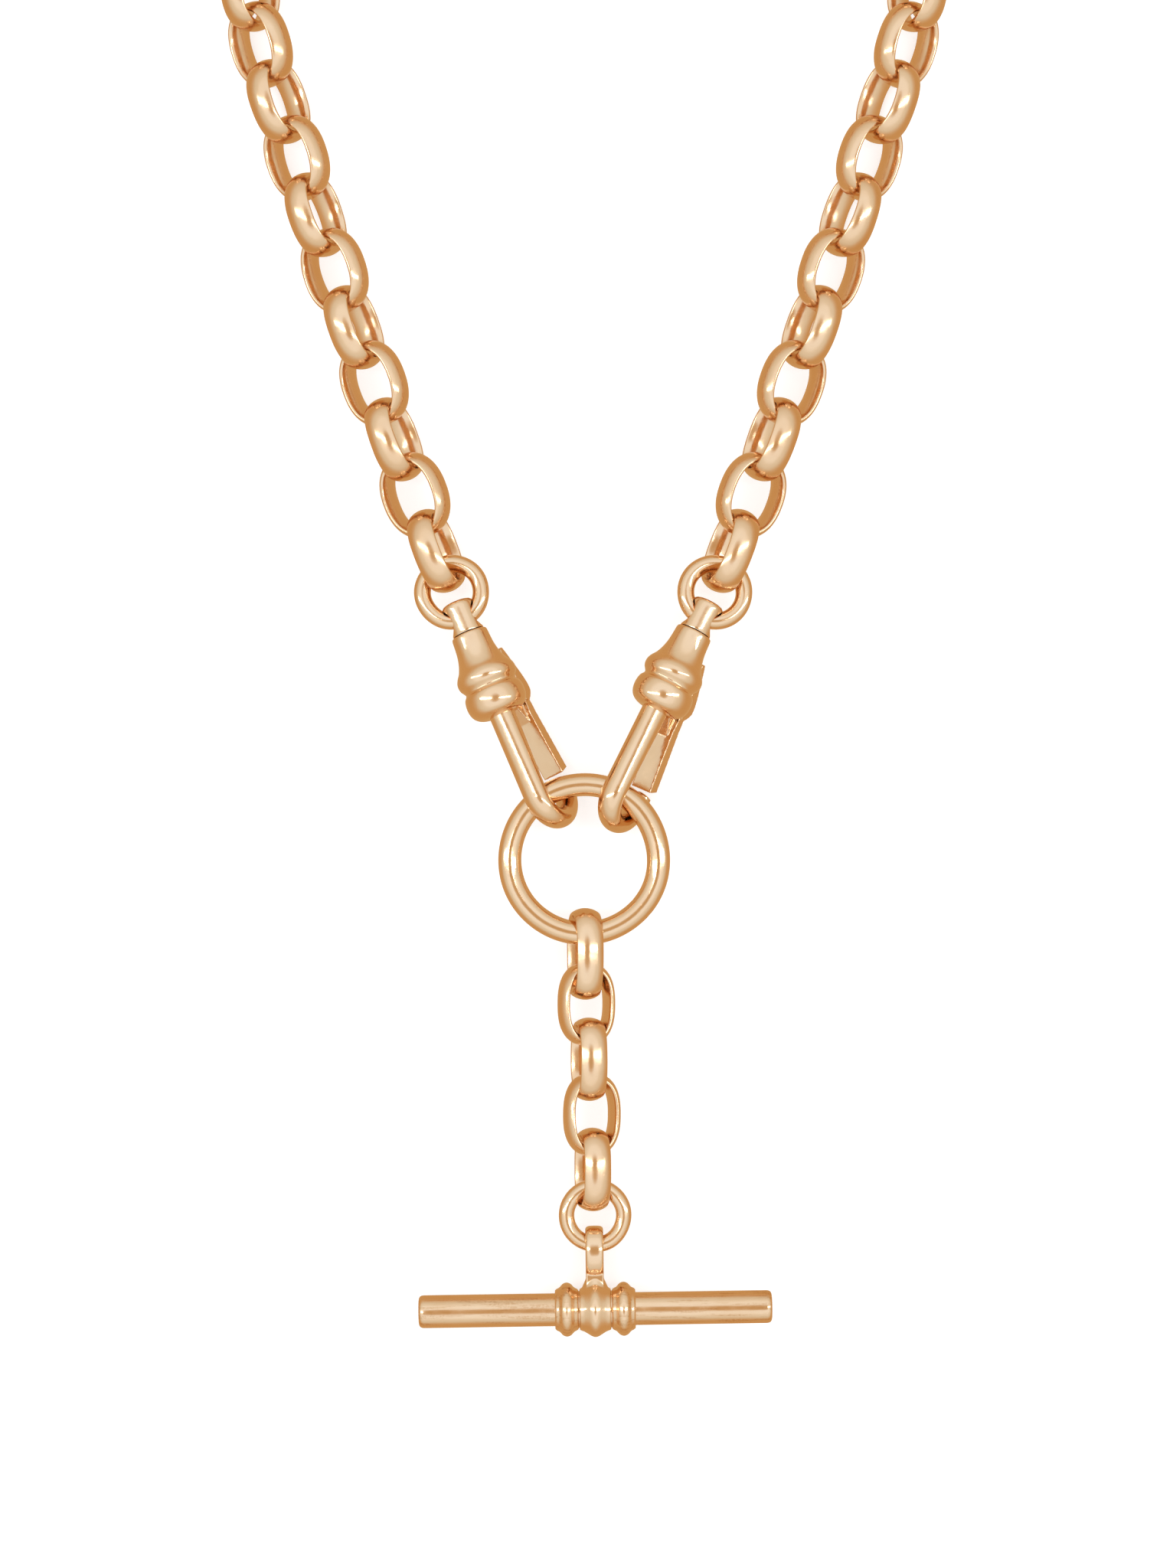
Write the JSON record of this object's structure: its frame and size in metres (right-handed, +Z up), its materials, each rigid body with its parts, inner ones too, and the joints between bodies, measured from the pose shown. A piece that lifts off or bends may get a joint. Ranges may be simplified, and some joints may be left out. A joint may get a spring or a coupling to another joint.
{
  "type": "pocket watch chain",
  "caption": "Rose gold pocket watch chain with belcher links, two sprung dog clips on a ring, and a short drop chain ending in a T-bar.",
  "frame": {"origin": "middle of the whole chain's footprint, on the surface it lies on", "axes": "+Z up from the surface, -Y towards the T-bar, +X to the right with the T-bar nearest the viewer"},
  "size_m": [0.062, 0.1404, 0.0069],
  "materials": {
    "rose_gold": "polished",
    "rose_gold_chain": "polished",
    "spring_gold": "satin"
  },
  "bodies": {
    "ring": {"big_ring": "rose_gold"},
    "drop_link_1": {"drop_link_1": "rose_gold"},
    "drop_link_2": {"drop_link_2": "rose_gold"},
    "drop_link_3": {"drop_link_3": "rose_gold"},
    "drop_link_4": {"drop_link_4": "rose_gold"},
    "drop_link_5": {"drop_link_5": "rose_gold"},
    "drop_ring": {"drop_ring": "rose_gold"},
    "tbar_eye": {"tbar_eye": "rose_gold"},
    "tbar": {"tbar_rod": "rose_gold", "tbar_beads": "rose_gold"},
    "left_clip": {"left_hook_body": "rose_gold", "left_lever_pin": "rose_gold", "left_lever_spring": "spring_gold"},
    "left_lever": {"left_lever": "rose_gold"},
    "left_swivel": {"left_swivel_post": "rose_gold"},
    "left_jump_ring": {"left_jump_ring": "rose_gold"},
    "left_link_01": {"left_link_01": "rose_gold_chain"},
    "left_link_02": {"left_link_02": "rose_gold_chain"},
    "left_link_03": {"left_link_03": "rose_gold_chain"},
    "left_link_04": {"left_link_04": "rose_gold_chain"},
    "left_link_05": {"left_link_05": "rose_gold_chain"},
    "left_link_06": {"left_link_06": "rose_gold_chain"},
    "left_link_07": {"left_link_07": "rose_gold_chain"},
    "left_link_08": {"left_link_08": "rose_gold_chain"},
    "left_link_09": {"left_link_09": "rose_gold_chain"},
    "left_link_10": {"left_link_10": "rose_gold_chain"},
    "left_link_11": {"left_link_11": "rose_gold_chain"},
    "left_link_12": {"left_link_12": "rose_gold_chain"},
    "left_link_13": {"left_link_13": "rose_gold_chain"},
    "left_link_14": {"left_link_14": "rose_gold_chain"},
    "left_link_15": {"left_link_15": "rose_gold_chain"},
    "left_link_16": {"left_link_16": "rose_gold_chain"},
    "left_link_17": {"left_link_17": "rose_gold_chain"},
    "left_link_18": {"left_link_18": "rose_gold_chain"},
    "right_clip": {"right_hook_body": "rose_gold", "right_lever_pin": "rose_gold", "right_lever_spring": "spring_gold"},
    "right_lever": {"right_lever": "rose_gold"},
    "right_swivel": {"right_swivel_post": "rose_gold"},
    "right_jump_ring": {"right_jump_ring": "rose_gold"},
    "right_link_01": {"right_link_01": "rose_gold_chain"},
    "right_link_02": {"right_link_02": "rose_gold_chain"},
    "right_link_03": {"right_link_03": "rose_gold_chain"},
    "right_link_04": {"right_link_04": "rose_gold_chain"},
    "right_link_05": {"right_link_05": "rose_gold_chain"},
    "right_link_06": {"right_link_06": "rose_gold_chain"},
    "right_link_07": {"right_link_07": "rose_gold_chain"},
    "right_link_08": {"right_link_08": "rose_gold_chain"},
    "right_link_09": {"right_link_09": "rose_gold_chain"},
    "right_link_10": {"right_link_10": "rose_gold_chain"},
    "right_link_11": {"right_link_11": "rose_gold_chain"},
    "right_link_12": {"right_link_12": "rose_gold_chain"},
    "right_link_13": {"right_link_13": "rose_gold_chain"},
    "right_link_14": {"right_link_14": "rose_gold_chain"},
    "right_link_15": {"right_link_15": "rose_gold_chain"},
    "right_link_16": {"right_link_16": "rose_gold_chain"},
    "right_link_17": {"right_link_17": "rose_gold_chain"},
    "right_link_18": {"right_link_18": "rose_gold_chain"}
  },
  "joints": [
    {"name": "drop_link_1_swing", "type": "hinge", "parent": "ring", "child": "drop_link_1", "pos_m": [0.00012, -0.03599, 0.00305], "axis": [-0.9744, 0, 0.225], "range_deg": [-40, 40]},
    {"name": "drop_link_2_swing", "type": "hinge", "parent": "drop_link_1", "child": "drop_link_2", "pos_m": [0.00022, -0.04063, 0.00298], "axis": [0.342, 0, 0.9397], "range_deg": [-30, 30]},
    {"name": "drop_link_3_swing", "type": "hinge", "parent": "drop_link_2", "child": "drop_link_3", "pos_m": [0.00045, -0.04535, 0.00292], "axis": [0.9744, 0, -0.225], "range_deg": [-30, 30]},
    {"name": "drop_link_4_swing", "type": "hinge", "parent": "drop_link_3", "child": "drop_link_4", "pos_m": [0.00069, -0.05007, 0.00287], "axis": [-0.342, 0, -0.9397], "range_deg": [-30, 30]},
    {"name": "drop_link_5_swing", "type": "hinge", "parent": "drop_link_4", "child": "drop_link_5", "pos_m": [0.00076, -0.05477, 0.0028], "axis": [-0.9744, 0, 0.225], "range_deg": [-30, 30]},
    {"name": "drop_ring_swing", "type": "hinge", "parent": "drop_link_5", "child": "drop_ring", "pos_m": [0.00076, -0.05692, 0.0028], "axis": [-0.9744, 0, 0.225], "range_deg": [-35, 35]},
    {"name": "tbar_swing", "type": "hinge", "parent": "drop_ring", "child": "tbar_eye", "pos_m": [0.00098, -0.06226, 0.0025], "axis": [0.9999, 0.0152, 0], "range_deg": [-75, 75]},
    {"name": "tbar_spin", "type": "hinge", "parent": "tbar_eye", "child": "tbar", "pos_m": [0.00099, -0.06783, 0.00242], "axis": [0.9999, 0.0152, 0], "continuous": true},
    {"name": "left_clip_swing", "type": "hinge", "parent": "ring", "child": "left_clip", "pos_m": [-0.00289, -0.0237, 0.00327], "axis": [0.887, 0.4617, 0], "range_deg": [-35, 35]},
    {"name": "left_lever_open", "type": "hinge", "parent": "left_clip", "child": "left_lever", "pos_m": [-0.00683, -0.01516, 0.00285], "axis": [-0.7784, -0.3837, -0.4968], "range_deg": [0, 12], "stiffness_Nm_per_rad": 0.0008, "springref_deg": -8.59},
    {"name": "left_swivel_turn", "type": "hinge", "parent": "left_clip", "child": "left_swivel", "pos_m": [-0.0098, -0.01009, 0.00358], "axis": [-0.3802, 0.9179, -0.1132], "continuous": true},
    {"name": "left_jump_ring_swing", "type": "hinge", "parent": "left_swivel", "child": "left_jump_ring", "pos_m": [-0.01031, -0.00885, 0.00343], "axis": [0.9239, 0.3827, 0], "range_deg": [-40, 40]},
    {"name": "left_link_01_swing", "type": "hinge", "parent": "left_jump_ring", "child": "left_link_01", "pos_m": [-0.01234, -0.00373, 0.00305], "axis": [0.8884, 0.3396, 0.309], "range_deg": [-30, 30]},
    {"name": "left_link_02_swing", "type": "hinge", "parent": "left_link_01", "child": "left_link_02", "pos_m": [-0.01415, 0.00102, 0.00305], "axis": [-0.4476, -0.1675, 0.8784], "range_deg": [-30, 30]},
    {"name": "left_link_03_swing", "type": "hinge", "parent": "left_link_02", "child": "left_link_03", "pos_m": [-0.01591, 0.00578, 0.00305], "axis": [-0.8706, -0.3189, -0.3746], "range_deg": [-30, 30]},
    {"name": "left_link_04_swing", "type": "hinge", "parent": "left_link_03", "child": "left_link_04", "pos_m": [-0.01765, 0.01056, 0.00305], "axis": [0.5079, 0.182, -0.842], "range_deg": [-30, 30]},
    {"name": "left_link_05_swing", "type": "hinge", "parent": "left_link_04", "child": "left_link_05", "pos_m": [-0.01935, 0.01534, 0.00305], "axis": [0.8482, 0.2974, 0.4384], "range_deg": [-30, 30]},
    {"name": "left_link_06_swing", "type": "hinge", "parent": "left_link_05", "child": "left_link_06", "pos_m": [-0.02102, 0.02014, 0.00305], "axis": [-0.566, -0.194, 0.8013], "range_deg": [-30, 30]},
    {"name": "left_link_07_swing", "type": "hinge", "parent": "left_link_06", "child": "left_link_07", "pos_m": [-0.02266, 0.02495, 0.00305], "axis": [-0.8212, -0.2751, -0.5], "range_deg": [-30, 30]},
    {"name": "left_link_08_swing", "type": "hinge", "parent": "left_link_07", "child": "left_link_08", "pos_m": [-0.02426, 0.02977, 0.00305], "axis": [0.6216, 0.2034, -0.7564], "range_deg": [-30, 30]},
    {"name": "left_link_09_swing", "type": "hinge", "parent": "left_link_08", "child": "left_link_09", "pos_m": [-0.02583, 0.0346, 0.00305], "axis": [0.7897, 0.2523, 0.5592], "range_deg": [-30, 30]},
    {"name": "left_link_10_swing", "type": "hinge", "parent": "left_link_09", "child": "left_link_10", "pos_m": [-0.02736, 0.03945, 0.00305], "axis": [-0.6745, -0.2103, 0.7077], "range_deg": [-30, 30]},
    {"name": "left_link_11_swing", "type": "hinge", "parent": "left_link_10", "child": "left_link_11", "pos_m": [-0.02844, 0.04425, 0.00305], "axis": [-0.7862, -0.0539, -0.6157], "range_deg": [-30, 30]},
    {"name": "left_link_12_swing", "type": "hinge", "parent": "left_link_11", "child": "left_link_12", "pos_m": [-0.02838, 0.04918, 0.00305], "axis": [0.7095, -0.1185, -0.6947], "range_deg": [-30, 30]},
    {"name": "left_link_13_swing", "type": "hinge", "parent": "left_link_12", "child": "left_link_13", "pos_m": [-0.02717, 0.05396, 0.00305], "axis": [0.7058, -0.2978, 0.6428], "range_deg": [-30, 30]},
    {"name": "left_link_14_swing", "type": "hinge", "parent": "left_link_13", "child": "left_link_14", "pos_m": [-0.02489, 0.05833, 0.00305], "axis": [-0.5799, 0.4257, 0.6947], "range_deg": [-30, 30]},
    {"name": "left_link_15_swing", "type": "hinge", "parent": "left_link_14", "child": "left_link_15", "pos_m": [-0.02166, 0.06206, 0.00305], "axis": [-0.4957, 0.5841, -0.6428], "range_deg": [-30, 30]},
    {"name": "left_link_16_swing", "type": "hinge", "parent": "left_link_15", "child": "left_link_16", "pos_m": [-0.01766, 0.06493, 0.00305], "axis": [0.3257, -0.6414, -0.6947], "range_deg": [-30, 30]},
    {"name": "left_link_17_swing", "type": "hinge", "parent": "left_link_16", "child": "left_link_17", "pos_m": [-0.0131, 0.0668, 0.00305], "axis": [0.1791, -0.7448, 0.6428], "range_deg": [-30, 30]},
    {"name": "left_link_18_swing", "type": "hinge", "parent": "left_link_17", "child": "left_link_18", "pos_m": [-0.00822, 0.06756, 0.00305], "axis": [-0.0015, 0.7193, 0.6947], "range_deg": [-30, 30]},
    {"name": "right_clip_swing", "type": "hinge", "parent": "ring", "child": "right_clip", "pos_m": [0.00359, -0.02406, 0.00327], "axis": [-0.829, 0.5592, 0], "range_deg": [-35, 35]},
    {"name": "right_lever_open", "type": "hinge", "parent": "right_clip", "child": "right_lever", "pos_m": [0.00752, -0.01552, 0.00285], "axis": [-0.7973, 0.3427, -0.4968], "range_deg": [0, 12], "stiffness_Nm_per_rad": 0.0008, "springref_deg": -8.59},
    {"name": "right_swivel_turn", "type": "hinge", "parent": "right_clip", "child": "right_swivel", "pos_m": [0.00945, -0.00997, 0.00358], "axis": [-0.4511, -0.8853, 0.1132], "continuous": true},
    {"name": "right_jump_ring_swing", "type": "hinge", "parent": "right_swivel", "child": "right_jump_ring", "pos_m": [0.01006, -0.00878, 0.00343], "axis": [0.891, -0.454, 0], "range_deg": [-40, 40]},
    {"name": "right_link_01_swing", "type": "hinge", "parent": "right_jump_ring", "child": "right_link_01", "pos_m": [0.01225, -0.00373, 0.00305], "axis": [0.8905, -0.334, -0.309], "range_deg": [-30, 30]},
    {"name": "right_link_02_swing", "type": "hinge", "parent": "right_link_01", "child": "right_link_02", "pos_m": [0.01402, 0.00103, 0.00305], "axis": [-0.4484, 0.1655, -0.8784], "range_deg": [-30, 30]},
    {"name": "right_link_03_swing", "type": "hinge", "parent": "right_link_02", "child": "right_link_03", "pos_m": [0.01577, 0.00579, 0.00305], "axis": [-0.8715, 0.3164, 0.3746], "range_deg": [-30, 30]},
    {"name": "right_link_04_swing", "type": "hinge", "parent": "right_link_03", "child": "right_link_04", "pos_m": [0.0175, 0.01057, 0.00305], "axis": [0.5081, -0.1814, 0.842], "range_deg": [-30, 30]},
    {"name": "right_link_05_swing", "type": "hinge", "parent": "right_link_04", "child": "right_link_05", "pos_m": [0.0192, 0.01536, 0.00305], "axis": [0.8481, -0.2977, -0.4384], "range_deg": [-30, 30]},
    {"name": "right_link_06_swing", "type": "hinge", "parent": "right_link_05", "child": "right_link_06", "pos_m": [0.02087, 0.02016, 0.00305], "axis": [-0.5656, 0.1951, -0.8013], "range_deg": [-30, 30]},
    {"name": "right_link_07_swing", "type": "hinge", "parent": "right_link_06", "child": "right_link_07", "pos_m": [0.02252, 0.02496, 0.00305], "axis": [-0.8202, 0.2781, 0.5], "range_deg": [-30, 30]},
    {"name": "right_link_08_swing", "type": "hinge", "parent": "right_link_07", "child": "right_link_08", "pos_m": [0.02414, 0.02978, 0.00305], "axis": [0.6206, -0.2067, 0.7564], "range_deg": [-30, 30]},
    {"name": "right_link_09_swing", "type": "hinge", "parent": "right_link_08", "child": "right_link_09", "pos_m": [0.02574, 0.0346, 0.00305], "axis": [0.7879, -0.2578, -0.5592], "range_deg": [-30, 30]},
    {"name": "right_link_10_swing", "type": "hinge", "parent": "right_link_09", "child": "right_link_10", "pos_m": [0.02731, 0.03943, 0.00305], "axis": [-0.6726, 0.2161, -0.7077], "range_deg": [-30, 30]},
    {"name": "right_link_11_swing", "type": "hinge", "parent": "right_link_10", "child": "right_link_11", "pos_m": [0.02843, 0.04423, 0.00305], "axis": [-0.7857, 0.06, 0.6157], "range_deg": [-30, 30]},
    {"name": "right_link_12_swing", "type": "hinge", "parent": "right_link_11", "child": "right_link_12", "pos_m": [0.0284, 0.04916, 0.00305], "axis": [0.7103, 0.1136, 0.6947], "range_deg": [-30, 30]},
    {"name": "right_link_13_swing", "type": "hinge", "parent": "right_link_12", "child": "right_link_13", "pos_m": [0.02723, 0.05395, 0.00305], "axis": [0.7076, 0.2936, -0.6428], "range_deg": [-30, 30]},
    {"name": "right_link_14_swing", "type": "hinge", "parent": "right_link_13", "child": "right_link_14", "pos_m": [0.02497, 0.05833, 0.00305], "axis": [-0.5821, -0.4227, -0.6947], "range_deg": [-30, 30]},
    {"name": "right_link_15_swing", "type": "hinge", "parent": "right_link_14", "child": "right_link_15", "pos_m": [0.02176, 0.06207, 0.00305], "axis": [-0.4982, -0.5819, 0.6428], "range_deg": [-30, 30]},
    {"name": "right_link_16_swing", "type": "hinge", "parent": "right_link_15", "child": "right_link_16", "pos_m": [0.01777, 0.06496, 0.00305], "axis": [0.3279, 0.6403, 0.6947], "range_deg": [-30, 30]},
    {"name": "right_link_17_swing", "type": "hinge", "parent": "right_link_16", "child": "right_link_17", "pos_m": [0.01321, 0.06684, 0.00305], "axis": [0.181, 0.7444, -0.6428], "range_deg": [-30, 30]},
    {"name": "right_link_18_swing", "type": "hinge", "parent": "right_link_17", "child": "right_link_18", "pos_m": [0.00834, 0.06761, 0.00305], "axis": [-0.0027, -0.7193, -0.6947], "range_deg": [-30, 30]}
  ]
}
